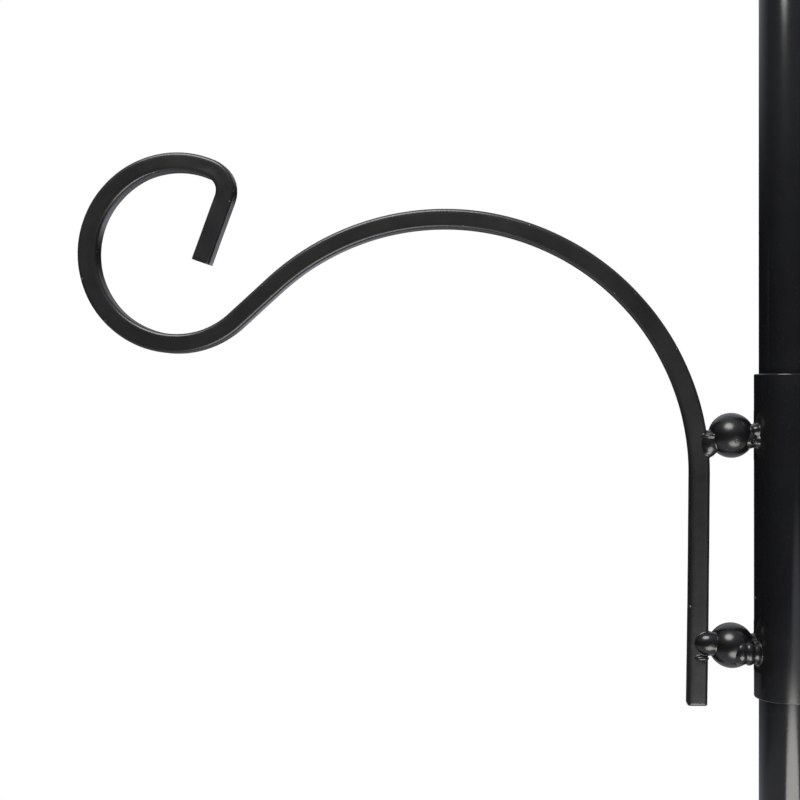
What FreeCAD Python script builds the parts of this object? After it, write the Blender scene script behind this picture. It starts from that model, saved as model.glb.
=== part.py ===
import FreeCAD, Part
import math
import os

# A garden pole with a hanging arm. Three push-fit tube sections stand in a ground fork and end
# in a ball finial. A sleeve slides on the top section and carries an arched square bar that
# ends in an open scroll, where a bird feeder hangs. Two welded balls hold the bar off the sleeve,
# and a screw on the far side clamps the sleeve to the pole.
#
# Millimetres. +Z is up the pole, Z = 0 is the ground, and the arm reaches out along -X.

Vector = FreeCAD.Vector
UP = Vector(0, 0, 1)
ACROSS = Vector(0, 1, 0)
OUT = Vector(1, 0, 0)
ORIGIN = Vector(0, 0, 0)

# ---------------------------------------------------------------- driving dimensions

# Pole: equal tube sections, each with a swaged spigot that the next section sits over
pole_od = 25.0
pole_wall = 1.2
section_length = 430.0
spigot_length = 60.0
spigot_gap = 0.2
mouth_chamfer = 0.4

# Sleeve of the hanging arm, clamped above the top section's foot
sleeve_gap = 0.5
sleeve_wall = 1.6
sleeve_length = 143.0
sleeve_rim = 0.6
sleeve_rise = 70.0

# Balls between the sleeve and the bar
ball_d = 20.0
ball_gap = 0.05
lower_ball_rise = 22.7
ball_spacing = 93.1

# Square bar of the hook arm, from its foot to its tip
bar_side = 8.7
bar_corner = 1.5
bar_gap = 0.37
bar_foot_drop = 3.8
foot_lean = 0.85
top_lean = 0.50
bow_radius = 400.0
stem_lower_run = 44.0
stem_upper_run = 55.0
arch_radius = 114.8
arch_turn = 132.4
neck_run = 24.0
scroll_radius = 41.9
scroll_turn = 246.2
tip_radius = 10.4
tip_turn = 86.1
tip_run = 31.3

# Weld beads between ball and neighbour: radius, reach over the ball, root in the neighbour
small_bead_r = 6.0
large_bead_r = 8.5
bead_reach = 3.4
bead_root = 0.6

# Clamp: nut welded on the sleeve, screw with a star knob, nylon tip on the pole
screw_d = 8.0
thread_gap = 0.05
screw_hole_gap = 0.5
nut_across_flats = 13.0
nut_height = 6.5
nut_bead = 2.2
pad_d = 6.0
pad_length = 3.0
pad_peg_d = 3.0
pad_peg_length = 4.0
pad_pole_gap = 0.3
knob_d = 32.0
knob_width = 12.0
knob_hub_d = 15.0
knob_hub_length = 6.0
knob_stand_off = 7.0
knob_lobes = 5
knob_scallop_d = 12.0
knob_edge = 2.0
knob_bore_depth = 12.0

# Finial on the pole's top
plug_gap = 0.1
plug_length = 22.0
plug_flange = 2.0
collar_d = 31.0
collar_height = 9.0
collar_neck_d = 14.0
finial_ball_d = 36.0
finial_seat_depth = 1.2
finial_stud_d = 6.0
finial_stud_bite = 12.0

# Ground fork
socket_gap = 0.35
socket_wall = 2.0
socket_top_z = 110.0
socket_bottom_z = -12.0
socket_rim = 0.8
spike_d = 16.0
spike_tip_z = -230.0
spike_point_length = 35.0
spike_head_top_z = 8.0
spike_collar_step = 1.5
spike_collar_length = 8.0
pole_rest_gap = 0.1
prong_count = 4
prong_d = 8.0
prong_reach = 75.0
prong_bend_radius = 22.0
prong_tip_z = -205.0
prong_point_length = 22.0
prong_bead = 2.6
spike_bead = 4.0
spike_bead_lap = 0.65

# ---------------------------------------------------------------- sizes that follow

pole_r = pole_od / 2
pole_bore_r = pole_r - pole_wall
spigot_r = pole_bore_r - spigot_gap
sleeve_bore_r = pole_r + sleeve_gap
sleeve_r = sleeve_bore_r + sleeve_wall
sleeve_bottom_z = 2 * section_length + sleeve_rise
sleeve_top_z = sleeve_bottom_z + sleeve_length
ball_r = ball_d / 2
ball_x = -(sleeve_r + ball_gap + ball_r)
lower_ball_z = sleeve_bottom_z + lower_ball_rise
upper_ball_z = lower_ball_z + ball_spacing
bar_x = ball_x - ball_r - bar_gap - bar_side / 2
foot_z = sleeve_bottom_z - bar_foot_drop
foot_x = bar_x - (lower_ball_z - foot_z) * math.tan(math.radians(foot_lean))
pole_top_z = 3 * section_length
clamp_z = sleeve_bottom_z + sleeve_length / 2
screw_r = screw_d / 2
nut_face_x = sleeve_r + nut_height
pad_x = pole_r + pad_pole_gap
screw_tip_x = pad_x + pad_length
knob_x = nut_face_x + knob_stand_off
socket_bore_r = pole_r + socket_gap
socket_r = socket_bore_r + socket_wall

nodes = {}


# ---------------------------------------------------------------- shared shapes

def turned(outline, axis_point=ORIGIN, axis=UP):
    """A solid turned about a line, from a closed outline of points in the XZ plane."""
    points = [Vector(x, 0, z) for x, z in outline]
    face = Part.Face(Part.makePolygon(points + points[:1]))
    return face.revolve(axis_point, axis, 360)


def rod(radius, start, end):
    """A round rod from one point to another."""
    return Part.makeCylinder(radius, (end - start).Length, start, end - start)


def rim_edges(shape, radius, heights):
    """The circular edges of a given radius that lie at the given heights."""
    chosen = []
    for edge in shape.Edges:
        if not isinstance(edge.Curve, Part.Circle):
            continue
        at_height = any(abs(edge.Curve.Center.z - z) < 1e-6 for z in heights)
        if at_height and abs(edge.Curve.Radius - radius) < 1e-6:
            chosen.append(edge)
    return chosen


def bead(radius, ball, neighbour):
    """A weld bead round the place where a ball meets its neighbour, cut to both surfaces."""
    ball_point, neighbour_point = ball.distToShape(neighbour)[1][0]
    outwards = (ball_point - ball.CenterOfMass).normalize()
    start = ball_point - outwards * bead_reach
    shape = rod(radius, start, neighbour_point + outwards * bead_root)
    shape = shape.cut(ball).cut(neighbour)
    return max(shape.Solids, key=lambda solid: solid.Volume)


def swept_path(face, point, heading, steps):
    """Runs a section along straight runs and round bends in the XZ plane, and fuses the stretches.

    The heading is in degrees from +X towards +Z, and a positive turn goes the same way.
    """
    stretches = []
    for kind, size, turn in steps:
        angle = math.radians(heading)
        ahead = Vector(math.cos(angle), 0, math.sin(angle))
        if kind == "run":
            stretches.append(face.extrude(ahead * size))
            face = face.translated(ahead * size)
            point = point + ahead * size
            continue
        side = Vector(-math.sin(angle), 0, math.cos(angle))
        centre = point + side * math.copysign(size, turn)
        stretches.append(face.revolve(centre, ACROSS, -turn))
        face = face.rotated(centre, ACROSS, -turn)
        spoke = FreeCAD.Rotation(ACROSS, -turn).multVec(point - centre)
        point = centre + spoke
        heading += turn
    return stretches[0].multiFuse(stretches[1:]).removeSplitter()


# ---------------------------------------------------------------- pole sections

def pole_section(bottom_z, top_z, has_spigot):
    """One tube section. A swaged spigot continues the wall upwards at a smaller diameter."""
    outer = [(pole_r, bottom_z)]
    inner = [(pole_bore_r, top_z)]
    if has_spigot:
        swage = pole_r - spigot_r
        tip_z = top_z + spigot_length
        outer += [(pole_r, top_z - swage), (spigot_r, top_z)]
        outer += [(spigot_r, tip_z - mouth_chamfer), (spigot_r - mouth_chamfer, tip_z)]
        inner = [(spigot_r - pole_wall, tip_z), (spigot_r - pole_wall, top_z)]
        inner += [(pole_bore_r, top_z - swage)]
    else:
        outer += [(pole_r, top_z)]
    return turned(outer + inner + [(pole_bore_r, bottom_z)])


section_names = ["lower_pole", "middle_pole", "upper_pole"]
for number, name in enumerate(section_names):
    bottom = number * section_length
    if number == 0:
        bottom = spike_head_top_z + pole_rest_gap
    top = (number + 1) * section_length
    nodes[name] = pole_section(bottom, top, has_spigot=name != section_names[-1])

# ---------------------------------------------------------------- sleeve, bar and balls

sleeve_tube = turned([
    (sleeve_bore_r, sleeve_bottom_z),
    (sleeve_r, sleeve_bottom_z),
    (sleeve_r, sleeve_top_z),
    (sleeve_bore_r, sleeve_top_z),
])
sleeve_tube = sleeve_tube.makeFillet(
    sleeve_rim, rim_edges(sleeve_tube, sleeve_r, [sleeve_bottom_z, sleeve_top_z]))
screw_hole = rod(screw_r + screw_hole_gap, Vector(0, 0, clamp_z), Vector(nut_face_x, 0, clamp_z))
nodes["sleeve"] = sleeve_tube.cut(screw_hole)

foot = Vector(foot_x, 0, foot_z)
section = Part.makeBox(
    bar_side, bar_side, 1.0, foot - Vector(bar_side / 2, bar_side / 2, 0))
section = section.makeFillet(bar_corner, [e for e in section.Edges if e.BoundBox.ZLength > 0.9])
section_face = min(section.Faces, key=lambda face: face.CenterOfMass.z)
section_face = section_face.rotated(foot, ACROSS, foot_lean)
nodes["hook_arm"] = swept_path(section_face, foot, 90 - foot_lean, [
    ("run", stem_lower_run, 0),
    ("bend", bow_radius, foot_lean - top_lean),
    ("run", stem_upper_run, 0),
    ("bend", arch_radius, arch_turn),
    ("run", neck_run, 0),
    ("bend", scroll_radius, -scroll_turn),
    ("bend", tip_radius, -tip_turn),
    ("run", tip_run, 0),
])

sleeve_core = rod(sleeve_r, Vector(0, 0, sleeve_bottom_z), Vector(0, 0, sleeve_top_z))
ball_heights = {"upper": upper_ball_z, "lower": lower_ball_z}
sleeve_bead_r = {"upper": small_bead_r, "lower": large_bead_r}
for level, height in ball_heights.items():
    ball = Part.makeSphere(ball_r, Vector(ball_x, 0, height))
    nodes[level + "_ball"] = ball
    nodes[level + "_ball_arm_weld"] = bead(small_bead_r, ball, nodes["hook_arm"])
    nodes[level + "_ball_sleeve_weld"] = bead(sleeve_bead_r[level], ball, sleeve_core)

# ---------------------------------------------------------------- clamp on the sleeve

clamp_centre = Vector(0, 0, clamp_z)
nut_corner_r = nut_across_flats / math.sqrt(3)
nut_corners = []
for corner in range(7):
    angle = math.radians(60 * corner)
    nut_corners.append(Vector(
        sleeve_bore_r, nut_corner_r * math.cos(angle), clamp_z + nut_corner_r * math.sin(angle)))
nut_blank = Part.Face(Part.makePolygon(nut_corners)).extrude(OUT * (nut_face_x - sleeve_bore_r))
nut_blank = nut_blank.cut(sleeve_core)
screw_bore = rod(screw_r + thread_gap, clamp_centre, clamp_centre + OUT * (nut_face_x + 1))
nodes["clamp_nut"] = nut_blank.cut(screw_bore)

weld_foot_r = nut_corner_r + nut_bead
nut_weld = Part.makeCone(
    weld_foot_r, nut_corner_r, nut_bead + sleeve_wall,
    clamp_centre + OUT * sleeve_bore_r, OUT)
nodes["clamp_nut_weld"] = nut_weld.cut(sleeve_core).cut(nut_blank).cut(screw_bore)

pad_start = clamp_centre + OUT * pad_x
pad_end = clamp_centre + OUT * screw_tip_x
peg_end = pad_end + OUT * pad_peg_length
pad = rod(pad_d / 2, pad_start, pad_end).fuse(rod(pad_peg_d / 2, pad_end, peg_end))
nodes["clamp_pad"] = pad.removeSplitter()

screw_end = clamp_centre + OUT * (knob_x + knob_bore_depth)
screw = rod(screw_r, pad_end + OUT * thread_gap, screw_end)
peg_hole = rod(pad_peg_d / 2 + thread_gap, pad_end, peg_end + OUT * thread_gap)
nodes["clamp_screw"] = screw.cut(peg_hole)

knob_start = clamp_centre + OUT * knob_x
disc_start = knob_start + OUT * knob_hub_length
disc_end = disc_start + OUT * knob_width
knob = rod(knob_d / 2, disc_start, disc_end)
knob = knob.makeChamfer(knob_edge, [e for e in knob.Edges if isinstance(e.Curve, Part.Circle)])
scallop_ring_r = knob_d / 2 + knob_scallop_d * 0.2
for lobe in range(knob_lobes):
    angle = 2 * math.pi * lobe / knob_lobes
    offset = Vector(0, math.sin(angle), math.cos(angle)) * scallop_ring_r
    scallop = rod(knob_scallop_d / 2, disc_start - OUT + offset, disc_end + OUT + offset)
    knob = knob.cut(scallop)
knob = knob.fuse(rod(knob_hub_d / 2, knob_start, disc_start)).removeSplitter()
nodes["clamp_knob"] = knob.cut(rod(screw_r, knob_start, screw_end))

# ---------------------------------------------------------------- finial

plug_r = pole_bore_r - plug_gap
flange_top_z = pole_top_z + plug_flange
collar_top_z = flange_top_z + collar_height
finial_ball_z = collar_top_z + finial_ball_d / 2 - finial_seat_depth
stud_bottom_z = flange_top_z - finial_stud_bite
stud_top_z = collar_top_z + finial_stud_bite
finial_stud_r = finial_stud_d / 2
finial_stud = rod(finial_stud_r, Vector(0, 0, stud_bottom_z), Vector(0, 0, stud_top_z))
finial_ball = Part.makeSphere(finial_ball_d / 2, Vector(0, 0, finial_ball_z))

plug = turned([
    (0, pole_top_z - plug_length),
    (plug_r - mouth_chamfer, pole_top_z - plug_length),
    (plug_r, pole_top_z - plug_length + mouth_chamfer),
    (plug_r, pole_top_z),
    (pole_r, pole_top_z),
    (pole_r, flange_top_z),
    (0, flange_top_z),
])
collar = turned([
    (0, flange_top_z),
    (collar_d / 2, flange_top_z),
    (collar_d / 2, flange_top_z + collar_height / 3),
    (collar_neck_d / 2, collar_top_z - collar_height / 6),
    (collar_neck_d / 2, collar_top_z),
    (0, collar_top_z),
])
nodes["finial_plug"] = plug.cut(finial_stud)
nodes["finial_collar"] = collar.cut(finial_ball).cut(finial_stud)
nodes["finial_stud"] = finial_stud
nodes["finial_ball"] = finial_ball.cut(finial_stud)

# ---------------------------------------------------------------- ground fork

socket = turned([
    (socket_bore_r, socket_bottom_z),
    (socket_r, socket_bottom_z),
    (socket_r, socket_top_z),
    (socket_bore_r, socket_top_z),
])
nodes["fork_socket"] = socket.makeFillet(socket_rim, rim_edges(socket, socket_r, [socket_top_z]))

# The spike is necked down below the collar that it is welded round.
spike_r = spike_d / 2
spike_collar_r = spike_r + spike_collar_step
collar_foot_z = socket_bottom_z - spike_collar_length
nodes["centre_spike"] = turned([
    (0, spike_tip_z),
    (spike_r, spike_tip_z + spike_point_length),
    (spike_r, collar_foot_z - spike_collar_step),
    (spike_collar_r, collar_foot_z),
    (spike_collar_r, socket_bottom_z),
    (socket_bore_r, socket_bottom_z),
    (socket_bore_r, spike_head_top_z),
    (0, spike_head_top_z),
])
nodes["spike_weld"] = turned([
    (spike_collar_r, socket_bottom_z),
    (spike_collar_r, socket_bottom_z - spike_bead),
    (socket_bore_r + spike_bead_lap, socket_bottom_z),
])

# Each prong leaves the socket level, bends down and ends in a point. The underside of its level
# run lies on the ground.
prong_r = prong_d / 2
prong_start = Vector(socket_bore_r, 0, prong_r)
prong_section = Part.Face(Part.Wire(Part.makeCircle(prong_r, prong_start, OUT)))
shank_z = prong_tip_z + prong_point_length
prong = swept_path(prong_section, prong_start, 0, [
    ("run", prong_reach - prong_bend_radius - socket_bore_r, 0),
    ("bend", prong_bend_radius, -90),
    ("run", prong_r - prong_bend_radius - shank_z, 0),
])
point = Part.makeCone(
    prong_r, 0, prong_point_length, Vector(prong_reach, 0, shank_z), Vector(0, 0, -1))
socket_core = rod(socket_r, Vector(0, 0, socket_bottom_z), Vector(0, 0, socket_top_z))
prong = prong.fuse(point).removeSplitter().cut(socket_core)
prong_weld = Part.makeCone(
    prong_r + prong_bead, prong_r, prong_bead + socket_wall,
    prong_start, OUT).cut(socket_core).cut(prong)
for number in range(prong_count):
    turn = 360 / prong_count * (number + 0.5)
    nodes["ground_prong_%d" % (number + 1)] = prong.rotated(ORIGIN, UP, turn)
    nodes["prong_weld_%d" % (number + 1)] = prong_weld.rotated(ORIGIN, UP, turn)

# ---------------------------------------------------------------- one STEP file for each piece

os.makedirs("parts", exist_ok=True)
for name, shape in nodes.items():
    if not shape.isValid() or len(shape.Solids) != 1:
        raise ValueError("%s is not one valid solid" % name)
    shape.Solids[0].exportStep("parts/%s.step" % name)
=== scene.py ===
import math
import random

import bmesh
import bpy
from mathutils import Matrix, Vector, noise


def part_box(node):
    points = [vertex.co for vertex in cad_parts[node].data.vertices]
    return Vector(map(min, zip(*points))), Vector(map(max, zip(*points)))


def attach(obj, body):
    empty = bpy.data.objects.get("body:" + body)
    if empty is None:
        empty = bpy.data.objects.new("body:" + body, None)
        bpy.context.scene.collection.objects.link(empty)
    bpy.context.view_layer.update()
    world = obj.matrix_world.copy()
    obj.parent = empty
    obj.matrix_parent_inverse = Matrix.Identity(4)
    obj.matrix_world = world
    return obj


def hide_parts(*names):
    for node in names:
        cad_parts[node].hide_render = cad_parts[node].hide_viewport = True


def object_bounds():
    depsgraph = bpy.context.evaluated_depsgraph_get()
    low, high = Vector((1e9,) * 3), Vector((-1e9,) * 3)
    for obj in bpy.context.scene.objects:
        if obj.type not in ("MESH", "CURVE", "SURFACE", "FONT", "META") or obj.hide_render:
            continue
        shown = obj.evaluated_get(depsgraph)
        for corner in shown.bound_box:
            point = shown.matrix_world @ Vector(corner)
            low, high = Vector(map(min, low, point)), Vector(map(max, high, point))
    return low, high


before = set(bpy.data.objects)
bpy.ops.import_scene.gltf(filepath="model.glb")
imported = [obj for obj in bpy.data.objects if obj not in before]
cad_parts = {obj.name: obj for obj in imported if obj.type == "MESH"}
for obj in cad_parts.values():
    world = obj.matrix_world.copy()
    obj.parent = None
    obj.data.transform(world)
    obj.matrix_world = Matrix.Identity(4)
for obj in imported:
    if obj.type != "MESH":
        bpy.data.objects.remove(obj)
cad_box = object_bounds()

# ================================================================ fork socket
# A short steel tube at the foot of the pole, which the lowest length drops into. It is sawn to
# length and deburred, and then the whole fork is welded up and coated in black powder.

MM = 0.001
OUT = Vector((1, 0, 0))
ACROSS = Vector((0, 1, 0))
UP = Vector((0, 0, 1))
ORIGIN = Vector((0, 0, 0))
FULL_TURN = 2 * math.pi
SEAM = 0.001 * MM


def add_node(tree, kind, inputs=None, **settings):
    """A shader node with its settings, and its inputs linked to sockets or set to values."""
    node = tree.nodes.new(kind)
    for setting, value in settings.items():
        setattr(node, setting, value)
    for label, value in (inputs or {}).items():
        if isinstance(value, bpy.types.NodeSocket):
            tree.links.new(value, node.inputs[label])
        else:
            node.inputs[label].default_value = value
    return node


def new_group(name, inputs, outputs):
    """An empty shader node group with named sockets, and its input and output nodes."""
    group = bpy.data.node_groups.new(name, "ShaderNodeTree")
    for label, kind, value in inputs:
        socket = group.interface.new_socket(name=label, in_out="INPUT", socket_type=kind)
        socket.default_value = value
    for label, kind in outputs:
        group.interface.new_socket(name=label, in_out="OUTPUT", socket_type=kind)
    return group, group.nodes.new("NodeGroupInput"), group.nodes.new("NodeGroupOutput")


def noise_field(group, scale, detail=2.0, roughness=0.5):
    """A smooth noise from 0 to 1 over the piece's own coordinates."""
    place = add_node(group, "ShaderNodeTexCoord").outputs["Object"]
    field = add_node(group, "ShaderNodeTexNoise", {
        "Vector": place, "Scale": scale, "Detail": detail, "Roughness": roughness})
    return field.outputs["Fac"]


def step_between(group, value, low, high, least, most):
    """A value taken from one range to another, held at the ends."""
    step = add_node(group, "ShaderNodeMapRange", {
        "Value": value, "From Min": low, "From Max": high, "To Min": least, "To Max": most})
    return step.outputs["Result"]


def colour_mix(group, mask, first, second):
    """A colour that goes from the first to the second as the mask goes from 0 to 1."""
    mix = group.nodes.new("ShaderNodeMix")
    mix.data_type = "RGBA"
    for slot, source in ((0, mask), (6, first), (7, second)):
        group.links.new(source, mix.inputs[slot])
    return mix.outputs[2]


def build_powder_coat():
    """Baked powder: orange peel, fine grain, a slow change of gloss, and caught dust flecks."""
    group, given, result = new_group("powder_coat", [
        ("Coat Colour", "NodeSocketColor", (0.01, 0.01, 0.01, 1)),
        ("Fleck Colour", "NodeSocketColor", (0.06, 0.06, 0.06, 1)),
        ("Gloss Roughness", "NodeSocketFloat", 0.4),
        ("Roughness Spread", "NodeSocketFloat", 0.08),
        ("Peel Scale", "NodeSocketFloat", 700.0),
        ("Peel Depth", "NodeSocketFloat", 0.00003),
        ("Wave Depth", "NodeSocketFloat", 0.0),
        ("Fleck Cover", "NodeSocketFloat", 0.3),
    ], [
        ("Colour", "NodeSocketColor"),
        ("Roughness", "NodeSocketFloat"),
        ("Normal", "NodeSocketVector"),
    ])
    peel = noise_field(group, given.outputs["Peel Scale"], 2.0, 0.45)
    grain = noise_field(group, 3200.0, 1.0)
    drift = noise_field(group, 42.0, 3.0, 0.55)
    fleck = noise_field(group, 1500.0, 0.0)
    wave = noise_field(group, 130.0, 1.0)
    cover = step_between(group, fleck, 0.735, 0.80, 0.0, given.outputs["Fleck Cover"])
    gloss = step_between(group, drift, 0.3, 0.7, -0.5, 0.5)
    tone = step_between(group, drift, 0.3, 0.7, 0.82, 1.18)
    rough = add_node(group, "ShaderNodeMath", {
        0: gloss, 1: given.outputs["Roughness Spread"], 2: given.outputs["Gloss Roughness"]},
        operation="MULTIPLY_ADD")
    shaded = add_node(group, "ShaderNodeVectorMath", {
        0: given.outputs["Coat Colour"], "Scale": tone}, operation="SCALE")
    flecked = colour_mix(group, cover, shaded.outputs["Vector"], given.outputs["Fleck Colour"])
    height = add_node(group, "ShaderNodeMath", {0: grain, 1: 0.25, 2: peel},
                      operation="MULTIPLY_ADD")
    dents = add_node(group, "ShaderNodeBump", {
        "Strength": 1.0, "Distance": given.outputs["Wave Depth"], "Height": wave})
    skin = add_node(group, "ShaderNodeBump", {
        "Strength": 1.0, "Distance": given.outputs["Peel Depth"],
        "Height": height.outputs["Value"], "Normal": dents.outputs["Normal"]})
    group.links.new(flecked, result.inputs["Colour"])
    group.links.new(rough.outputs["Value"], result.inputs["Roughness"])
    group.links.new(skin.outputs["Normal"], result.inputs["Normal"])
    return group


powder_coat = build_powder_coat()


def coated_steel(name, colour, roughness, spread=0.08, peel=700.0, depth=0.03, wave=0.0,
                 flecks=0.3):
    """Powder-coated steel: a dark film with the shared coat in it. Depths are in millimetres."""
    material = bpy.data.materials.new(name)
    material.use_nodes = True
    tree = material.node_tree
    shader = tree.nodes["Principled BSDF"]
    shader.inputs["IOR"].default_value = 1.5
    coat = tree.nodes.new("ShaderNodeGroup")
    coat.node_tree = powder_coat
    settings = {
        "Coat Colour": (*colour, 1), "Gloss Roughness": roughness, "Roughness Spread": spread,
        "Peel Scale": peel, "Peel Depth": depth * MM, "Wave Depth": wave * MM,
        "Fleck Cover": flecks}
    for label, value in settings.items():
        coat.inputs[label].default_value = value
    tree.links.new(coat.outputs["Colour"], shader.inputs["Base Color"])
    tree.links.new(coat.outputs["Roughness"], shader.inputs["Roughness"])
    tree.links.new(coat.outputs["Normal"], shader.inputs["Normal"])
    return material


def spun(bm, outline, steps=96):
    """Turns a closed outline of (radius, height) points about the upright axis."""
    corners = [bm.verts.new((radius, 0, height)) for radius, height in outline]
    sides = [bm.edges.new(pair) for pair in zip(corners, corners[1:] + corners[:1])]
    bmesh.ops.spin(
        bm, geom=corners + sides, cent=ORIGIN, axis=UP, angle=FULL_TURN, steps=steps,
        use_merge=True)
    bmesh.ops.remove_doubles(bm, verts=bm.verts, dist=SEAM)
    bmesh.ops.dissolve_degenerate(bm, edges=bm.edges, dist=SEAM)


def soften(bm, width, segments=3, sharper_than=30):
    """Rounds every edge whose faces meet at more than an angle."""
    limit = math.radians(sharper_than)
    sharp = [e for e in bm.edges if len(e.link_faces) == 2 and e.calc_face_angle() > limit]
    bmesh.ops.bevel(
        bm, geom=sharp, offset=width, affect="EDGES", segments=segments, profile=0.5,
        material=-1, clamp_overlap=True)


def finished(name, bm, material, body, nodes=(), sharper_than=50):
    """Writes a finished piece, shades it smooth, and puts it on its body in place of its nodes."""
    bmesh.ops.recalc_face_normals(bm, faces=bm.faces)
    limit = math.radians(sharper_than)
    for face in bm.faces:
        face.smooth = True
    for edge in bm.edges:
        edge.smooth = len(edge.link_faces) != 2 or edge.calc_face_angle() < limit
    mesh = bpy.data.meshes.new(name)
    bm.to_mesh(mesh)
    bm.free()
    mesh.materials.append(material)
    piece = bpy.data.objects.new(name, mesh)
    bpy.context.scene.collection.objects.link(piece)
    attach(piece, body)
    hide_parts(*nodes)
    return piece


fork_finish = coated_steel("fork_powder_coat", (0.0075, 0.0077, 0.0082), 0.40, wave=0.10)
socket_low, socket_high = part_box("fork_socket")
socket_r = socket_high.x
socket_wall = 2.0 * MM
socket_rim = 0.7 * MM

bm = bmesh.new()
spun(bm, [
    (socket_r, socket_low.z), (socket_r, socket_high.z),
    (socket_r - socket_wall, socket_high.z), (socket_r - socket_wall, socket_low.z)])
soften(bm, socket_rim)
finished("fork_socket_tube", bm, fork_finish, "ground_fork", ["fork_socket"])

# ================================================================ centre spike
# A round steel stake that closes the socket's foot. It has a head inside the socket, a collar for
# its weld and a turned point with the small flat that the parting tool leaves.

spike_low, spike_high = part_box("centre_spike")
spike_head_r = spike_high.x
spike_r = 8 * MM
spike_collar_step = 1.5 * MM
spike_collar_length = 8 * MM
spike_collar_r = spike_r + spike_collar_step
spike_collar_foot = socket_low.z - spike_collar_length
spike_point_length = 35 * MM
spike_flat_r = 0.7 * MM
spike_edge = 0.4 * MM

bm = bmesh.new()
spun(bm, [
    (0, spike_low.z), (spike_flat_r, spike_low.z),
    (spike_r, spike_low.z + spike_point_length), (spike_r, spike_collar_foot - spike_collar_step),
    (spike_collar_r, spike_collar_foot), (spike_collar_r, socket_low.z),
    (spike_head_r, socket_low.z), (spike_head_r, spike_high.z), (0, spike_high.z)], steps=64)
soften(bm, spike_edge, sharper_than=25)
finished("spike_stake", bm, fork_finish, "ground_fork", ["centre_spike"])

# ================================================================ prongs of the fork
# Four 8 mm round rods stand out level from the socket, turn down and end in ground points, so
# that the fork can't rock in soft soil. Each is bent cold and has a slightly uneven skin.

prong_r = 4 * MM
prong_reach = 75 * MM
prong_bend = 22 * MM
prong_point = 22 * MM
prong_flat = 0.12
prong_bite = 0.3 * MM
prong_stride = 2.5 * MM
prong_skin_scale = 60
prong_skin_depth = 0.12 * MM
prong_skin_shift = 7.0
prong_turns = [45, 135, 225, 315]


def carried(bm, face, point, heading, steps, stride):
    """Carries a face along straight runs and round bends in the XZ plane.

    Sizes are in millimetres, and the heading is in degrees from +X towards +Z. It returns the
    last face, where it is, and the centres of the bends.
    """
    centres = []
    for kind, size, turn in steps:
        size = size * MM
        angle = math.radians(heading)
        ahead = Vector((math.cos(angle), 0, math.sin(angle)))
        side = Vector((-math.sin(angle), 0, math.cos(angle)))
        length = size if kind == "run" else abs(math.radians(turn)) * size
        count = max(2, round(length / stride))
        geometry = [face] + list(face.edges) + list(face.verts)
        if kind == "run":
            grown = bmesh.ops.spin(
                bm, geom=geometry, cent=point, axis=ACROSS, dvec=ahead * length / count,
                angle=0, steps=count)
            point = point + ahead * length
        else:
            centre = point + side * math.copysign(size, turn)
            centres.append(centre)
            grown = bmesh.ops.spin(
                bm, geom=geometry, cent=centre, axis=ACROSS, angle=-math.radians(turn),
                steps=count)
            point = centre + Matrix.Rotation(-math.radians(turn), 3, ACROSS) @ (point - centre)
            heading += turn
        face = [g for g in grown["geom_last"] if isinstance(g, bmesh.types.BMFace)][0]
    return face, point, centres


def close_ends(bm):
    """Fills any open end that carrying a face leaves behind."""
    rims = [e for e in bm.edges if len(e.link_faces) == 1]
    bmesh.ops.holes_fill(bm, edges=rims, sides=0)


prong_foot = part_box("ground_prong_1")[0].z
shank_length = prong_r - prong_bend - prong_foot - prong_point
for number, turn in enumerate(prong_turns, start=1):
    bm = bmesh.new()
    start = Vector((socket_r - prong_bite, 0, prong_r))
    bmesh.ops.create_circle(
        bm, cap_ends=True, segments=28, radius=prong_r,
        matrix=Matrix.Translation(start) @ Matrix.Rotation(math.radians(90), 4, ACROSS))
    bm.faces.ensure_lookup_table()
    shank_end = carried(bm, bm.faces[0], start, 0, [
        ("run", (prong_reach - prong_bend - start.x) / MM, 0),
        ("bend", prong_bend / MM, -90),
        ("run", shank_length / MM, 0)], prong_stride)[0]
    grown = bmesh.ops.extrude_discrete_faces(bm, faces=[shank_end])["faces"][0]
    bmesh.ops.translate(bm, verts=grown.verts, vec=-UP * prong_point)
    about_end = Matrix.Translation(-grown.calc_center_median())
    bmesh.ops.scale(bm, verts=grown.verts, vec=(prong_flat, prong_flat, 1), space=about_end)
    close_ends(bm)
    for vertex in bm.verts:
        along = vertex.co * prong_skin_scale
        shift = Vector((number * prong_skin_shift, 0, 0))
        uneven = noise.noise(along + shift) * prong_skin_depth
        vertex.co += vertex.normal * min(0, uneven)
    bmesh.ops.rotate(
        bm, verts=bm.verts, cent=ORIGIN, matrix=Matrix.Rotation(math.radians(turn), 3, UP))
    finished("prong_rod_%d" % number, bm, fork_finish, "ground_fork",
             ["ground_prong_%d" % number], sharper_than=40)

# ================================================================ welds of the fork
# The spike and the prongs are welded on all round in short runs, whose ripples the coat softens.
# They are filler steel laid by hand, so no two ripples are quite alike.

weld_finish = coated_steel(
    "weld_powder_coat", (0.0052, 0.0052, 0.0054), 0.20, spread=0.05, peel=300.0, depth=0.06,
    flecks=0.05)
wetted_sink = 0.12 * MM


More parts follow.
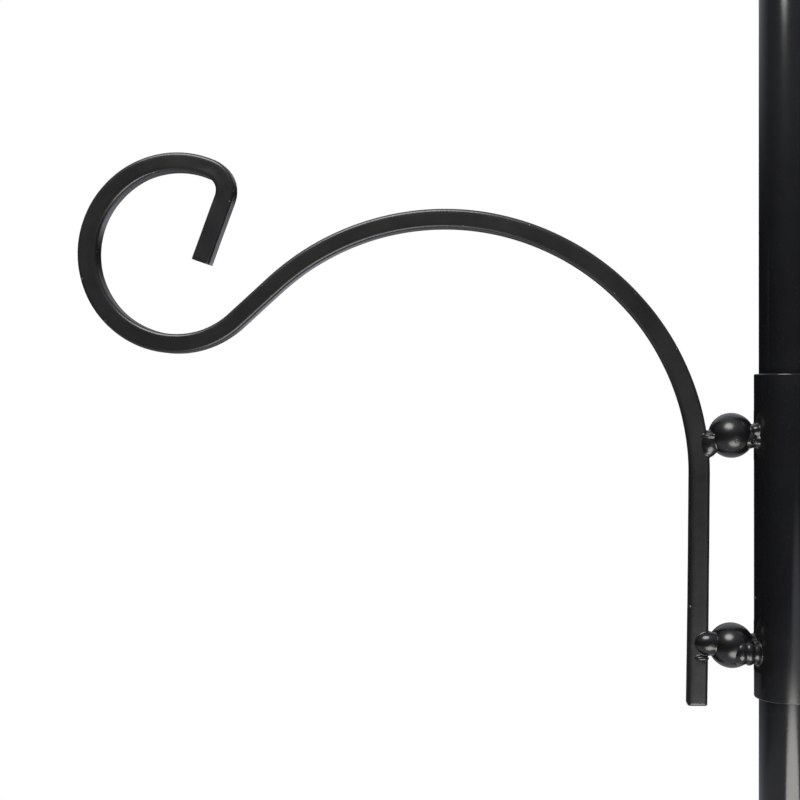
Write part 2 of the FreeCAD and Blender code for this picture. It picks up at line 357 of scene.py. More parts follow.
def puddled(bm, lumps, wetted=(), skin=0.35 * MM, relax=5):
    """Melts overlapping lumps, each a centre and three half widths, into one weld skin.

    The wetted meshes are what it runs out onto. They are melted in too, a little under size.
    """
    rough = bmesh.new()
    for mesh in wetted:
        rough.from_mesh(mesh)
    for vertex in rough.verts:
        vertex.co -= vertex.normal * wetted_sink
    for centre, widths in lumps:
        place = Matrix.Translation(centre) @ Matrix.Diagonal((*widths, 1))
        bmesh.ops.create_icosphere(rough, subdivisions=3, radius=1, matrix=place)
    metal = bpy.data.meshes.new("weld_metal")
    rough.to_mesh(metal)
    rough.free()
    holder = bpy.data.objects.new("weld_metal", metal)
    bpy.context.scene.collection.objects.link(holder)
    melt = holder.modifiers.new("melt", "REMESH")
    melt.mode = "VOXEL"
    melt.voxel_size = skin
    settle = holder.modifiers.new("settle", "SMOOTH")
    settle.factor = 0.5
    settle.iterations = relax
    graph = bpy.context.evaluated_depsgraph_get()
    melted = bpy.data.meshes.new_from_object(holder.evaluated_get(graph))
    bm.from_mesh(melted)
    bpy.data.objects.remove(holder)
    bpy.data.meshes.remove(metal)
    bpy.data.meshes.remove(melted)


hand = random.Random(4)


def ring_of_ripples(centre, normal, radius, ripple, count):
    """Lumps set round a circle, each a little off its place and size."""
    first = normal.orthogonal().normalized()
    second = normal.cross(first)
    lumps = []
    for place in range(count):
        angle = FULL_TURN * place / count
        spoke = first * math.cos(angle) + second * math.sin(angle)
        width = ripple * hand.uniform(0.88, 1.1)
        reach = radius * hand.uniform(0.97, 1.03)
        lumps.append((centre + spoke * reach, (width, width, width)))
    return lumps


bm = bmesh.new()
puddled(bm, ring_of_ripples(
    Vector((0, 0, socket_low.z - 1.2 * MM)), UP, spike_collar_r + 0.9 * MM, 2.2 * MM, 26))
finished("spike_weld_run", bm, weld_finish, "ground_fork", ["spike_weld"])

for number, turn in enumerate(prong_turns, start=1):
    way = Matrix.Rotation(math.radians(turn), 3, UP) @ OUT
    bm = bmesh.new()
    puddled(bm, ring_of_ripples(
        way * (socket_r + 0.3 * MM) + UP * prong_r, way, prong_r + 0.5 * MM, 1.9 * MM, 14))
    finished("prong_weld_run_%d" % number, bm, weld_finish, "ground_fork",
             ["prong_weld_%d" % number])

# ================================================================ pole tubes
# Three lengths of welded steel tube, 25 mm across. The two lower ones are swaged down at the top
# to a spigot that the next length sits over. Satin black polyester powder coat, baked on.

pole_finish = coated_steel(
    "pole_powder_coat", (0.0048, 0.0051, 0.0060), 0.145, spread=0.03, depth=0.008, flecks=0.1)
tube_wall = 1.2 * MM
spigot_gap = 0.2 * MM
spigot_length = 60 * MM
mouth_round = 0.35 * MM

for section in ("lower", "middle", "upper"):
    low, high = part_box(section + "_pole")
    tube_r = high.x
    bore_r = tube_r - tube_wall
    if section == "upper":
        outline = [(tube_r, low.z), (tube_r, high.z), (bore_r, high.z), (bore_r, low.z)]
    else:
        spigot_r = bore_r - spigot_gap
        shoulder_z = high.z - spigot_length
        swage = tube_r - spigot_r
        outline = [
            (tube_r, low.z), (tube_r, shoulder_z - swage), (spigot_r, shoulder_z),
            (spigot_r, high.z), (spigot_r - tube_wall, high.z),
            (spigot_r - tube_wall, shoulder_z), (bore_r, shoulder_z - swage), (bore_r, low.z)]
    bm = bmesh.new()
    spun(bm, outline, steps=128)
    soften(bm, mouth_round)
    finished(section + "_pole_tube", bm, pole_finish, section + "_section",
             [section + "_pole"])

# ================================================================ sleeve
# A short length of wider tube that slides on the pole. Its sawn ends are rolled over a little in
# deburring, so each rim catches a thin line of light. A hole in it lets the clamp screw through.

sleeve_finish = coated_steel(
    "sleeve_powder_coat", (0.0046, 0.0049, 0.0057), 0.155, spread=0.03, depth=0.010, flecks=0.12)
sleeve_low, sleeve_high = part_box("sleeve")
sleeve_r = sleeve_high.x
sleeve_wall = 1.6 * MM
sleeve_rim = 0.6 * MM
clamp_hole_r = 4.5 * MM
clamp_hole_start = 8 * MM
clamp_hole_end = 20 * MM
screw_low, screw_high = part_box("clamp_screw")
clamp_z = (screw_low.z + screw_high.z) / 2


def bored(bm, radius, start, end):
    """Cuts a round hole along X through a closed mesh."""
    drill = bmesh.new()
    bmesh.ops.create_cone(
        drill, cap_ends=True, segments=48, radius1=radius, radius2=radius,
        depth=(end - start).length,
        matrix=Matrix.Translation((start + end) / 2)
        @ Matrix.Rotation(math.radians(90), 4, ACROSS))
    halves = []
    for role, shape in (("stock", bm), ("drill", drill)):
        mesh = bpy.data.meshes.new(role)
        shape.to_mesh(mesh)
        holder = bpy.data.objects.new(role, mesh)
        bpy.context.scene.collection.objects.link(holder)
        halves.append(holder)
    drill.free()
    cut = halves[0].modifiers.new("cut", "BOOLEAN")
    cut.object = halves[1]
    cut.operation = "DIFFERENCE"
    graph = bpy.context.evaluated_depsgraph_get()
    result = bpy.data.meshes.new_from_object(halves[0].evaluated_get(graph))
    bm.clear()
    bm.from_mesh(result)
    for holder in halves:
        mesh = holder.data
        bpy.data.objects.remove(holder)
        bpy.data.meshes.remove(mesh)
    bpy.data.meshes.remove(result)


bm = bmesh.new()
spun(bm, [
    (sleeve_r, sleeve_low.z), (sleeve_r, sleeve_high.z),
    (sleeve_r - sleeve_wall, sleeve_high.z), (sleeve_r - sleeve_wall, sleeve_low.z)], steps=128)
soften(bm, sleeve_rim, segments=4)
bored(bm, clamp_hole_r, OUT * clamp_hole_start + UP * clamp_z, OUT * clamp_hole_end + UP * clamp_z)
finished("sleeve_tube", bm, sleeve_finish, "hanging_arm", ["sleeve"])

# ================================================================ balls
# Two solid 20 mm steel balls stand the bar off the sleeve. They keep their ground surface under
# the coat, so they shine more than the bar.

ball_finish = coated_steel(
    "ball_powder_coat", (0.0040, 0.0041, 0.0044), 0.24, spread=0.04, peel=260.0, depth=0.04,
    flecks=0.05)
ball_pits = {"upper": (1.0, -2.4)}
ball_pit_r = 0.55 * MM
ball_pit_depth = 0.9 * MM


def pitted(bm, centre, place, radius, depth):
    """Sinks a gas pit into the front of a skin, at a place across and up from a centre, in mm."""
    middle = centre + Vector((place[0], 0, place[1])) * MM
    for vertex in bm.verts:
        off = math.hypot(vertex.co.x - middle.x, vertex.co.z - middle.z)
        if off < radius and vertex.co.y < middle.y:
            vertex.co.y += depth * (1 - (off / radius) ** 2)


ball_centres = {}
for level in ("upper", "lower"):
    low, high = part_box(level + "_ball")
    ball_centres[level] = (low + high) / 2
    ball_r = (high.z - low.z) / 2
    bm = bmesh.new()
    bmesh.ops.create_icosphere(
        bm, subdivisions=6, radius=ball_r,
        matrix=Matrix.Translation(ball_centres[level]))
    if level in ball_pits:
        pitted(bm, ball_centres[level], ball_pits[level], ball_pit_r, ball_pit_depth)
    finished(level + "_steel_ball", bm, ball_finish, "hanging_arm",
             [level + "_ball"])

# ================================================================ hook arm
# One length of square bar, bent cold round formers: a straight stem, a wide arch, and an open
# scroll whose tip is turned back in. The foot is sawn, and the tip is sheared and left as cut.

bar_side = 8.7 * MM
bar_corner = 1.5 * MM
bar_stride = 1.6 * MM
foot_lean = 0.85
foot_round = 0.7 * MM
tip_round = 0.25 * MM
scroll_bend = 41.9
tip_bend_in = 10.4
arm_steps = [
    ("run", 44.0, 0),
    ("bend", 400.0, 0.35),
    ("run", 55.0, 0),
    ("bend", 114.8, 132.4),
    ("run", 24.0, 0),
    ("bend", scroll_bend, -246.2),
    ("bend", tip_bend_in, -86.1),
    ("run", 31.3, 0),
]


def build_edge_rub():
    """Where a coat is thin on corners: small nicks and a faint rub, from a corner attribute."""
    group, given, result = new_group("edge_rub", [
        ("Corner", "NodeSocketFloat", 0.0),
        ("Rub Cover", "NodeSocketFloat", 0.5),
        ("Coat Colour", "NodeSocketColor", (0.01, 0.01, 0.01, 1)),
        ("Bare Colour", "NodeSocketColor", (0.30, 0.29, 0.27, 1)),
        ("Roughness", "NodeSocketFloat", 0.4),
        ("Bare Roughness", "NodeSocketFloat", 0.55),
    ], [("Colour", "NodeSocketColor"), ("Roughness", "NodeSocketFloat")])
    patch = noise_field(group, 260.0, 3.0, 0.6)
    nick = step_between(group, patch, 0.665, 0.715, 0.0, given.outputs["Rub Cover"])
    mask = add_node(group, "ShaderNodeMath", {0: nick, 1: given.outputs["Corner"]},
                    operation="MULTIPLY").outputs["Value"]
    colour = colour_mix(group, mask, given.outputs["Coat Colour"], given.outputs["Bare Colour"])
    rough = add_node(group, "ShaderNodeMix", {
        0: mask, 2: given.outputs["Roughness"], 3: given.outputs["Bare Roughness"]})
    group.links.new(colour, result.inputs["Colour"])
    group.links.new(rough.outputs[0], result.inputs["Roughness"])
    return group


edge_rub = build_edge_rub()


def rub_corners(material, cover):
    """Puts the rub between a coated material's coat and its shader."""
    tree = material.node_tree
    shader = tree.nodes["Principled BSDF"]
    rub = tree.nodes.new("ShaderNodeGroup")
    rub.node_tree = edge_rub
    rub.inputs["Rub Cover"].default_value = cover
    corner = add_node(tree, "ShaderNodeAttribute", attribute_name="corner")
    tree.links.new(corner.outputs["Fac"], rub.inputs["Corner"])
    for given, label in (("Base Color", "Coat Colour"), ("Roughness", "Roughness")):
        tree.links.new(shader.inputs[given].links[0].from_socket, rub.inputs[label])
    tree.links.new(rub.outputs["Colour"], shader.inputs["Base Color"])
    tree.links.new(rub.outputs["Roughness"], shader.inputs["Roughness"])


arm_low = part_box("hook_arm")[0]
foot_points = [v.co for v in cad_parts["hook_arm"].data.vertices
               if v.co.z < arm_low.z + 0.3 * MM]
foot_middle = sum(foot_points, Vector()) / len(foot_points)
foot = Vector((foot_middle.x, 0, arm_low.z + 0.065 * MM))

bm = bmesh.new()
bmesh.ops.create_circle(
    bm, cap_ends=True, segments=4, radius=bar_side / math.sqrt(2),
    matrix=Matrix.Rotation(math.radians(45), 4, UP))
bmesh.ops.bevel(
    bm, geom=list(bm.verts), offset=bar_corner, affect="VERTICES", segments=5, profile=0.5,
    material=-1)
flats = [e for e in bm.edges if e.calc_length() > bar_side / 2]
bmesh.ops.subdivide_edges(bm, edges=flats, cuts=4)
corner_mark = bm.verts.layers.float.new("corner")
for vertex in bm.verts:
    inset = bar_side / 2 - 0.75 * bar_corner
    vertex[corner_mark] = float(abs(vertex.co.x) > inset and abs(vertex.co.y) > inset)
bmesh.ops.transform(
    bm, verts=bm.verts,
    matrix=Matrix.Translation(foot) @ Matrix.Rotation(math.radians(-foot_lean), 4, ACROSS))
bm.faces.ensure_lookup_table()
tip, centres = carried(
    bm, bm.faces[0], foot, 90 - foot_lean, arm_steps, bar_stride)[1:]
close_ends(bm)
bmesh.ops.recalc_face_normals(bm, faces=bm.faces)

# The bar keeps the slight unevenness of rolled stock, and swells on the inside of both bends.
scroll, tip_bend = centres[-2:]
scroll_r = scroll_bend * MM
tip_bend_r = tip_bend_in * MM
scroll_swell = 0.5 * MM
tip_swell = 0.08
swell_depth = 1.2
upper_fade = (14 * MM, 27 * MM)
lower_fade = (-12 * MM, 12 * MM)
bar_skin_scale = 70
bar_skin_depth = 0.05 * MM
end_inset = 1.6 * MM
end_hollow = 0.18 * MM
for vertex in bm.verts:
    flat = Vector((vertex.co.x, 0, vertex.co.z))
    inward = (tip_bend_r - (flat - tip_bend).length) / (bar_side / 2)
    if 0 < inward < swell_depth and flat.z > tip_bend.z - 2 * MM:
        vertex.co.y *= 1 + tip_swell * inward
    spoke = scroll - flat
    inward = (scroll_r - spoke.length) / (bar_side / 2)
    fade_from, fade_to = upper_fade if spoke.z < 0 else lower_fade
    if 0 < inward < swell_depth and spoke.x > fade_from:
        fade = min(1, (spoke.x - fade_from) / (fade_to - fade_from))
        vertex.co += spoke.normalized() * scroll_swell * inward * fade
    vertex.co += vertex.normal * noise.noise(vertex.co * bar_skin_scale) * bar_skin_depth
for end, edge_round in ((foot, foot_round), (tip, tip_round)):
    ends = [f for f in bm.faces if len(f.verts) > 10]
    nearest = min(ends, key=lambda f: (f.calc_center_median() - end).length)
    bmesh.ops.bevel(
        bm, geom=list(nearest.edges), offset=edge_round, affect="EDGES", segments=3, profile=0.5,
        material=-1, clamp_overlap=True)
ends = [f for f in bm.faces if len(f.verts) > 10]
for face in bmesh.ops.inset_individual(bm, faces=ends, thickness=end_inset)["faces"]:
    face.smooth = True
for face in ends:
    bmesh.ops.translate(bm, verts=face.verts, vec=face.normal * -end_hollow)

arm_finish = coated_steel(
    "arm_powder_coat", (0.0110, 0.0110, 0.0107), 0.27, spread=0.07, peel=650.0, depth=0.012,
    wave=0.10, flecks=0.05)
rub_corners(arm_finish, 0.8)
arm_bar = finished("hook_bar", bm, arm_finish, "hanging_arm", ["hook_arm"])

# ================================================================ welds of the arm
# Each ball is welded by hand to the bar and to the sleeve, with lumpy overlapping puddles that
# the coat has run smooth over. The lower ones were filled several times.

# Puddles: across, towards the back, and up from the ball's centre, then the half widths, in mm.
weld_puddles = {
    "upper_ball_arm_weld": [
        (-9.6, -2.2, -3.4, 4.2, 3.4, 5.4), (-9.4, -4.6, -0.1, 3.6, 1.3, 0.8),
        (-10.4, -2.2, -6.6, 3.2, 2.6, 3.0), (-10.2, 2.8, -3.0, 3.0, 3.2, 5.0)],
    "upper_ball_sleeve_weld": [
        (7.2, -3.8, -1.8, 3.8, 3.7, 3.7), (10.2, -4.6, 2.3, 2.9, 2.4, 2.6),
        (10.9, -4.6, -2.3, 2.4, 2.4, 2.6), (9.6, -1.0, 0.0, 3.0, 4.0, 4.9),
        (10.0, 3.0, 0.0, 3.2, 4.4, 4.6)],
    "lower_ball_arm_weld": [
        (-10.2, -3.4, 1.3, 5.9, 3.9, 5.0),
        (-13.2, -4.6, -5.2, 2.8, 1.0, 0.9), (-10.2, 2.0, -0.4, 3.4, 4.6, 4.8)],
    "lower_ball_sleeve_weld": [
        (3.2, -6.4, -2.0, 3.6, 4.0, 5.4), (6.8, -5.8, -2.2, 2.9, 4.1, 5.3),
        (10.1, -4.8, -2.4, 2.6, 4.2, 4.9), (12.4, -5.3, 1.0, 1.4, 1.7, 1.4),
        (9.4, 0.0, 0.0, 3.6, 5.4, 5.0), (10.0, 5.0, 0.0, 3.4, 3.0, 4.0)],
}
# Spatter beads and gas pits, across and up from the ball's centre, in mm.
weld_spatter = {
    "lower_ball_arm_weld": (-12.6, -4.3, -7.4), "lower_ball_sleeve_weld": (10.1, -2.6, 21.6)}
weld_pits = {"upper_ball_sleeve_weld": (8.3, -2.6)}
spatter_r = 0.55 * MM
pit_r = 0.9 * MM
pit_depth = 1.1 * MM
weld_half_height = 11 * MM
weld_core_r = sleeve_r - 1.1 * MM
melt_loss = 0.35
weld_side = 24 * MM
weld_back = 14 * MM
weld_ball_lap = 1.5 * MM
weld_bore_x = -9 * MM
bar_margin = 4 * MM


def cropped(bm, low, high):
    """Cuts a closed mesh back to a box, and closes the cuts."""
    for axis in (OUT, ACROSS, UP):
        for corner, sign in ((low, -1), (high, 1)):
            bmesh.ops.bisect_plane(
                bm, geom=list(bm.verts) + list(bm.edges) + list(bm.faces), plane_co=corner,
                plane_no=axis * sign, clear_outer=True)
            close_ends(bm)


def kept_off_bore(bm, core_r):
    """Moves what has run through the sleeve's wall back out to a radius inside the wall."""
    for vertex in bm.verts:
        out = math.hypot(vertex.co.x, vertex.co.y)
        if out < core_r:
            vertex.co.x *= core_r / out
            vertex.co.y *= core_r / out


def loose_copy(name, shape):
    """Frees a mesh being made and keeps what it holds as plain mesh data."""
    mesh = bpy.data.meshes.new(name)
    shape.to_mesh(mesh)
    shape.free()
    return mesh


for node, puddles in weld_puddles.items():
    centre = ball_centres[node.split("_")[0]]
    reach = Vector((weld_side, weld_back, weld_half_height))
    low, high = centre - reach, centre + reach
    near = bmesh.new()
    if "arm" in node:
        high.x = centre.x - weld_ball_lap
        near.from_mesh(arm_bar.data)
        cropped(near, low - UP * MM, high + UP * MM + OUT * bar_margin)
    else:
        low.x = centre.x
        high.x = weld_bore_x
        foot_z = low.z - MM
        head_z = high.z + MM
        spun(near, [(sleeve_r, foot_z), (sleeve_r, head_z), (weld_core_r, head_z),
                    (weld_core_r, foot_z)], steps=128)
    ball = bmesh.new()
    bmesh.ops.create_icosphere(
        ball, subdivisions=4, radius=ball_r, matrix=Matrix.Translation(centre))
    wetted = [loose_copy("near", near), loose_copy("ball", ball)]
    lumps = [(centre + Vector(p[:3]) * MM, [(w + melt_loss) * MM for w in p[3:]])
             for p in puddles]
    bm = bmesh.new()
    puddled(bm, lumps, wetted, skin=0.32 * MM, relax=16)
    cropped(bm, low, high)
    if "sleeve" in node:
        kept_off_bore(bm, weld_core_r)
    if node in weld_pits:
        pitted(bm, centre, weld_pits[node], pit_r, pit_depth)
    if node in weld_spatter:
        bmesh.ops.create_icosphere(
            bm, subdivisions=3, radius=spatter_r,
            matrix=Matrix.Translation(centre + Vector(weld_spatter[node]) * MM))
    for mesh in wetted:
        bpy.data.meshes.remove(mesh)
    finished(node + "_run", bm, weld_finish, "hanging_arm", [node])

# ================================================================ clamp nut
# An M8 hexagon nut welded over the hole in the sleeve, on the side away from the hook. It is
# coated with the arm, and its thread is left clean for the screw.

nut_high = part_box("clamp_nut")[1]
nut_flats = 13 * MM
nut_bore_r = 4.1 * MM
nut_chamfer = 0.5 * MM

bm = bmesh.new()
bmesh.ops.create_cone(
    bm, cap_ends=True, segments=6, radius1=nut_flats / math.sqrt(3),
    radius2=nut_flats / math.sqrt(3), depth=nut_high.x - sleeve_r,
    matrix=Matrix.Translation(((nut_high.x + sleeve_r) / 2, 0, clamp_z))
    @ Matrix.Rotation(math.radians(90), 4, ACROSS))
soften(bm, nut_chamfer)
bored(bm, nut_bore_r, Vector((sleeve_r - MM, 0, clamp_z)), Vector((nut_high.x + MM, 0, clamp_z)))
finished("clamp_hex_nut", bm, sleeve_finish, "hanging_arm", ["clamp_nut"],
         sharper_than=35)

bm = bmesh.new()
nut_ring = ring_of_ripples(
    Vector((sleeve_r - 0.2 * MM, 0, clamp_z)), OUT, nut_flats / 2 + 1.0 * MM, 1.7 * MM, 22)
drop = [(p - OUT * (sleeve_r - math.sqrt(sleeve_r ** 2 - p.y ** 2)), w) for p, w in nut_ring]
puddled(bm, drop)
finished("clamp_nut_weld_run", bm, weld_finish, "hanging_arm", ["clamp_nut_weld"])

# ================================================================ clamp screw, tip and knob
# A zinc-plated M8 screw with a rolled thread, a white nylon tip that spares the pole's coat, and
# a black five-lobed knob of glass-filled nylon moulded round the screw's head.


def plain_finish(name, colour, metal, roughness, spread, scale, depth, swing=0.12):
    """A finish whose colour, roughness and skin all change a little over the surface."""
    material = bpy.data.materials.new(name)
    material.use_nodes = True
    tree = material.node_tree
    shader = tree.nodes["Principled BSDF"]
    shader.inputs["Metallic"].default_value = metal
    skin = noise_field(tree, scale, 3.0, 0.55)
    drift = noise_field(tree, scale / 12, 3.0, 0.6)
    dark = tree.nodes.new("ShaderNodeRGB")
    dark.outputs[0].default_value = (*[c * (1 - swing) for c in colour], 1)
    light = tree.nodes.new("ShaderNodeRGB")
    light.outputs[0].default_value = (*[c * (1 + swing) for c in colour], 1)
    tone = colour_mix(tree, step_between(tree, drift, 0.3, 0.7, 0.0, 1.0), dark.outputs[0],
                      light.outputs[0])
    rough = step_between(tree, drift, 0.3, 0.7, roughness - spread, roughness + spread)
    bump = add_node(tree, "ShaderNodeBump", {
        "Strength": 1.0, "Distance": depth * MM, "Height": skin})
    tree.links.new(tone, shader.inputs["Base Color"])
    tree.links.new(rough, shader.inputs["Roughness"])
    tree.links.new(bump.outputs["Normal"], shader.inputs["Normal"])
    return material


zinc_finish = plain_finish("zinc_plate", (0.52, 0.53, 0.55), 1.0, 0.32, 0.08, 1800.0, 0.01)
nylon_finish = plain_finish("white_nylon", (0.72, 0.71, 0.67), 0.0, 0.45, 0.06, 1400.0, 0.01,
                            0.04)
knob_finish = plain_finish("moulded_black_nylon", (0.016, 0.016, 0.017), 0.0, 0.48, 0.07,
                           2600.0, 0.03, 0.2)

screw_r = 3.98 * MM
screw_pitch = 1.25 * MM
screw_root_r = screw_r - 0.61 * screw_pitch
facets = 32
turns = math.ceil((screw_high.x - screw_low.x) / screw_pitch) + 2

bm = bmesh.new()
flank = [(screw_root_r, 0), (screw_root_r, 0.12), (screw_r, 0.44), (screw_r, 0.56),
         (screw_root_r, 0.88), (screw_root_r, 1)]
row = [bm.verts.new((radius, 0, height * screw_pitch)) for radius, height in flank]
side = [bm.edges.new(pair) for pair in zip(row, row[1:])]
bmesh.ops.spin(
    bm, geom=row + side, cent=ORIGIN, axis=UP, angle=FULL_TURN * turns, steps=facets * turns,
    dvec=UP * screw_pitch / facets)
bmesh.ops.remove_doubles(bm, verts=bm.verts, dist=0.01 * MM)
bmesh.ops.translate(bm, verts=bm.verts, vec=UP * (screw_low.x - 1.5 * screw_pitch))
for level, away in ((screw_low.x, -UP), (screw_high.x, UP)):
    bmesh.ops.bisect_plane(
        bm, geom=list(bm.verts) + list(bm.edges) + list(bm.faces), plane_co=UP * level,
        plane_no=away, clear_outer=True)
    close_ends(bm)
bmesh.ops.transform(
    bm, verts=bm.verts,
    matrix=Matrix.Translation((0, 0, clamp_z)) @ Matrix.Rotation(math.radians(90), 4, ACROSS))
finished("clamp_threaded_screw", bm, zinc_finish, "clamp_handle",
         ["clamp_screw"], sharper_than=32)

pad_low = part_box("clamp_pad")[0]
pad_r = 3 * MM
pad_length = 3 * MM
bm = bmesh.new()
spun(bm, [(0, 0), (pad_r, 0), (pad_r, pad_length), (0, pad_length)], steps=48)
soften(bm, 0.4 * MM)
bmesh.ops.transform(
    bm, verts=bm.verts,
    matrix=Matrix.Translation((pad_low.x, 0, clamp_z))
    @ Matrix.Rotation(math.radians(90), 4, ACROSS))
finished("clamp_nylon_tip", bm, nylon_finish, "clamp_tip", ["clamp_pad"])

knob_r = 16 * MM
knob_face_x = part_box("clamp_knob")[1].x
knob_depth = 12 * MM
knob_back_x = knob_face_x - knob_depth
hub_r = 7.5 * MM
scallop_r = 6 * MM
scallop_ring = 18.4 * MM
lobes = 5
knob_dish = 0.8 * MM
knob_round = 1.8 * MM
lobe_smoothing = 16
hub_length = 6 * MM
hub_bite = 0.5 * MM
hub_round = 0.8 * MM

bm = bmesh.new()
bmesh.ops.create_circle(bm, cap_ends=True, segments=150, radius=knob_r)
for vertex in bm.verts:
    around = math.atan2(vertex.co.y, vertex.co.x)
    nearest = round(around * lobes / FULL_TURN) * FULL_TURN / lobes
    off = around - nearest
    gap = scallop_r ** 2 - (scallop_ring * math.sin(off)) ** 2
    if gap > 0:
        reach = scallop_ring * math.cos(off) - math.sqrt(gap)
        if reach < knob_r:
            vertex.co *= reach / knob_r
for _ in range(lobe_smoothing):
    bmesh.ops.smooth_vert(
        bm, verts=bm.verts, factor=0.5, use_axis_x=True, use_axis_y=True, use_axis_z=False)
back = bm.faces[:][0]
grown = bmesh.ops.extrude_discrete_faces(bm, faces=[back])["faces"][0]
bmesh.ops.translate(bm, verts=grown.verts, vec=UP * (knob_face_x - knob_back_x))
close_ends(bm)
soften(bm, knob_round, segments=5, sharper_than=60)
ends = [f for f in bm.faces if len(f.verts) > 100]
middles = bmesh.ops.poke(bm, faces=ends)["verts"]
max(middles, key=lambda v: v.co.z).co.z -= knob_dish
hub = bmesh.new()
spun(hub, [(0, -hub_length), (hub_r, -hub_length), (hub_r, hub_bite), (0, hub_bite)], steps=64)
soften(hub, hub_round)
hub_mesh = bpy.data.meshes.new("hub")
hub.to_mesh(hub_mesh)
hub.free()
bm.from_mesh(hub_mesh)
bpy.data.meshes.remove(hub_mesh)
bmesh.ops.transform(
    bm, verts=bm.verts,
    matrix=Matrix.Translation((knob_back_x, 0, clamp_z))
    @ Matrix.Rotation(math.radians(90), 4, ACROSS) @ Matrix.Rotation(math.pi, 4, UP))
finished("clamp_lobed_knob", bm, knob_finish, "clamp_handle", ["clamp_knob"])

# ================================================================ finial
# A black plastic plug closes the tube's mouth. A cast collar and a 36 mm ball, coated like the
# pole, are held down on it by a stud.

finial_finish = coated_steel(
    "finial_powder_coat", (0.0050, 0.0052, 0.0060), 0.28, spread=0.06, peel=420.0, depth=0.05,
    flecks=0.15)
plug_finish = plain_finish("moulded_black_plug", (0.014, 0.014, 0.014), 0.0, 0.55, 0.06,
                           2200.0, 0.03, 0.2)
plug_low, plug_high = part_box("finial_plug")
plug_flange_r = plug_high.x
plug_flange = 2 * MM
plug_rib_r = 11.2 * MM
plug_core_r = 10.6 * MM
plug_rib = 1.2 * MM
rib_first = 2.6
rib_pitch = 4.6
stud_r = 3 * MM

bm = bmesh.new()
outline = [(stud_r, plug_high.z), (plug_flange_r, plug_high.z),
           (plug_flange_r, plug_high.z - plug_flange), (plug_core_r, plug_high.z - plug_flange)]
for rib in range(4):
    rib_top = plug_high.z - plug_flange - (rib_first + rib_pitch * rib) * MM
    outline += [(plug_core_r, rib_top), (plug_rib_r, rib_top - plug_rib / 2),
                (plug_core_r, rib_top - plug_rib)]
outline += [(plug_core_r, plug_low.z), (stud_r, plug_low.z)]
spun(bm, outline)
soften(bm, 0.3 * MM, segments=2, sharper_than=40)
finished("finial_ribbed_plug", bm, plug_finish, "finial", ["finial_plug"])

collar_low, collar_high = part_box("finial_collar")
collar_r = collar_high.x
collar_neck_r = 7 * MM
collar_height = collar_high.z - collar_low.z
ball_low, ball_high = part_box("finial_ball")
knop_r = (ball_high.x - ball_low.x) / 2
knop_z = ball_high.z - knop_r

bm = bmesh.new()
spun(bm, [
    (stud_r, collar_low.z), (collar_r - 0.6 * MM, collar_low.z), (collar_r, collar_low.z + MM),
    (collar_r, collar_low.z + 2.6 * MM), (collar_r - 1.4 * MM, collar_low.z + 3.4 * MM),
    (collar_neck_r + 3.2 * MM, collar_low.z + 0.66 * collar_height),
    (collar_neck_r + 0.8 * MM, collar_high.z - 1.2 * MM), (collar_neck_r, collar_high.z),
    (stud_r, collar_high.z)])
soften(bm, 0.35 * MM, sharper_than=25)
finished("finial_cast_collar", bm, finial_finish, "finial", ["finial_collar"])

bm = bmesh.new()
bmesh.ops.create_icosphere(
    bm, subdivisions=6, radius=knop_r, matrix=Matrix.Translation((0, 0, knop_z)))
finished("finial_cast_ball", bm, finial_finish, "finial", ["finial_ball"])

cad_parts["finial_stud"].data.materials.clear()
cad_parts["finial_stud"].data.materials.append(zinc_finish)

# ================================================================ camera and studio
# A level camera at the arm's height, a little turned from square to the arm. Two soft boxes stand
# in front, one above and one low at the right, and the pale floor lies under the fork's points.

camera_turn = math.radians(5.5)
camera_height = 1061.5 * MM
camera_distance = 568.4 * MM
pole_offset = 171.5 * MM
camera_lens = 57.87
rightwards = Vector((math.cos(camera_turn), math.sin(camera_turn), 0))
away = Vector((-math.sin(camera_turn), math.cos(camera_turn), 0))

camera_data = bpy.data.cameras.new("camera")
camera_data.lens = camera_lens
camera_data.sensor_width = 36
camera_data.clip_start = 0.02
camera = bpy.data.objects.new("camera", camera_data)
camera.location = UP * camera_height - rightwards * pole_offset - away * camera_distance
camera.rotation_mode = "QUATERNION"
camera.rotation_quaternion = away.to_track_quat("-Z", "Y")
bpy.context.scene.collection.objects.link(camera)
bpy.context.scene.camera = camera


def softbox(name, direction, distance, width, height, watts, colour=(1, 1, 1)):
    """An elliptical area light that faces the middle of the arm."""
    middle = Vector((-0.1, 0, 1.0))
    towards = (rightwards * direction[0] + UP * direction[1] - away * direction[2]).normalized()
    data = bpy.data.lights.new(name, "AREA")
    data.shape = "ELLIPSE"
    data.size = width
    data.size_y = height
    data.energy = watts
    data.color = colour
    lamp = bpy.data.objects.new(name, data)
    lamp.location = middle + towards * distance
    lamp.rotation_mode = "QUATERNION"
    lamp.rotation_quaternion = (-towards).to_track_quat("-Z", "Y")
    bpy.context.scene.collection.objects.link(lamp)


softbox("upper_softbox", (-0.286, 0.777, 0.570), 1.5, 1.00, 0.80, 22, (1.0, 0.98, 0.94))
softbox("lower_softbox", (0.115, -0.640, 0.760), 1.1, 0.92, 0.56, 9.4, (1.0, 0.97, 0.92))

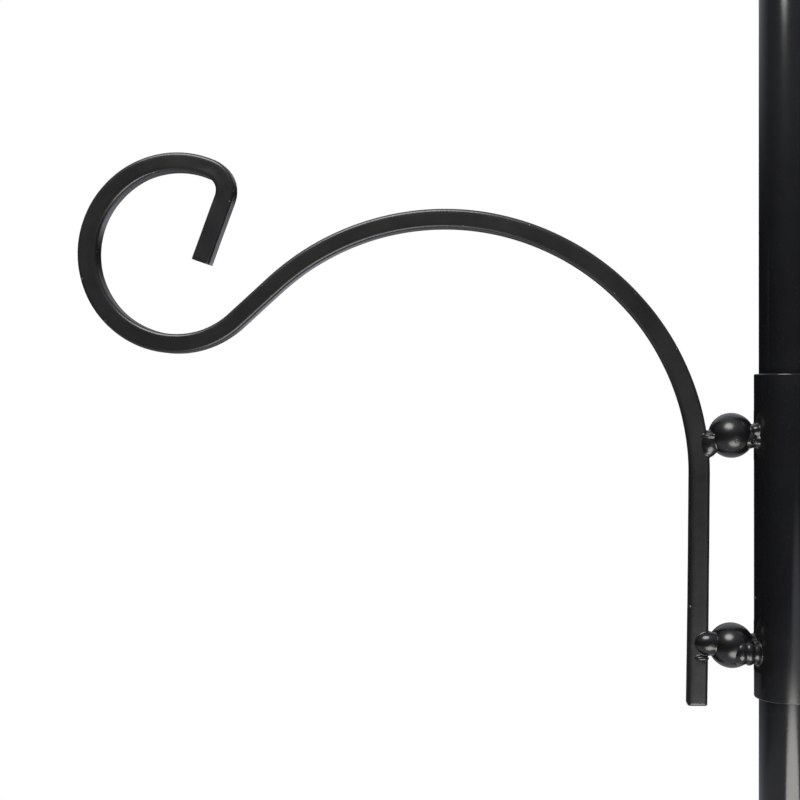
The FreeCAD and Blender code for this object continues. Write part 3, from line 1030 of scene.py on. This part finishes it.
# The room: a bright sky above, a pale table in front and below, and a thin light from behind.
world = bpy.data.worlds.new("studio")
bpy.context.scene.world = world
world.use_nodes = True
air = world.node_tree
air.nodes.clear()
way = add_node(air, "ShaderNodeTexCoord").outputs["Generated"]
height = add_node(air, "ShaderNodeSeparateXYZ", {"Vector": way}).outputs["Z"]
facing = add_node(air, "ShaderNodeVectorMath", {0: way, 1: -away}, operation="DOT_PRODUCT")
table_way = (rightwards * 0.195 - away * 0.919 - UP * 0.342).normalized()
glow = add_node(air, "ShaderNodeVectorMath", {0: way, 1: table_way}, operation="DOT_PRODUCT")
behind = step_between(air, facing.outputs["Value"], -0.20, -0.70, 0.0, 0.55)
steep = add_node(air, "ShaderNodeMath", {0: height}, operation="ABSOLUTE").outputs["Value"]
rim_light = add_node(air, "ShaderNodeMath", {
    0: behind, 1: step_between(air, steep, 0.22, 0.45, 0.0, 1.0)}, operation="MULTIPLY")
rightward = add_node(air, "ShaderNodeVectorMath", {0: way, 1: rightwards},
                     operation="DOT_PRODUCT").outputs["Value"]
table_edge = step_between(air, facing.outputs["Value"], -0.50, -0.85, 0.0, 1.1)
for limit in (
        step_between(air, rightward, 0.03, 0.12, 0.0, 1.0),
        step_between(air, height, 0.00, -0.10, 0.0, 1.0),
        step_between(air, height, -0.30, -0.22, 0.0, 1.0)):
    table_edge = add_node(air, "ShaderNodeMath", {0: table_edge, 1: limit},
                          operation="MULTIPLY").outputs["Value"]
room_light = 0.012
for share in (
        step_between(air, height, 0.15, 0.60, 0.0, 0.42),
        step_between(air, height, 0.60, 1.00, 0.0, 0.30),
        step_between(air, height, -0.24, -0.60, 0.0, 0.24),
        step_between(air, glow.outputs["Value"], 0.9455, 0.985, 0.0, 0.8),
        step_between(air, facing.outputs["Value"], 0.10, 1.00, 0.0, 0.09),
        rim_light.outputs["Value"],
        table_edge):
    room_light = add_node(air, "ShaderNodeMath", {0: share, 1: room_light},
                          operation="ADD").outputs["Value"]
surroundings = add_node(air, "ShaderNodeBackground", {
    "Color": (0.88, 0.91, 1.0, 1), "Strength": room_light})
backdrop = add_node(air, "ShaderNodeBackground", {"Color": (1, 1, 1, 1), "Strength": 1.0})
seen = add_node(air, "ShaderNodeLightPath").outputs["Is Camera Ray"]
either = add_node(air, "ShaderNodeMixShader", {
    0: seen, 1: surroundings.outputs["Background"], 2: backdrop.outputs["Background"]})
add_node(air, "ShaderNodeOutputWorld", {"Surface": either.outputs["Shader"]})

floor_radius = 2.6
floor_drop = 0.5 * MM
bm = bmesh.new()
bmesh.ops.create_circle(
    bm, cap_ends=True, segments=96, radius=floor_radius,
    matrix=Matrix.Translation((0, 0, cad_box[0].z - floor_drop)))
floor_mesh = bpy.data.meshes.new("floor")
bm.to_mesh(floor_mesh)
bm.free()
floor = bpy.data.objects.new("floor", floor_mesh)
bpy.context.scene.collection.objects.link(floor)
floor_finish = plain_finish("pale_floor", (0.78, 0.78, 0.78), 0.0, 0.85, 0.05, 40.0, 0.2, 0.02)
floor_mesh.materials.append(floor_finish)

bpy.context.scene.view_settings.view_transform = "Standard"
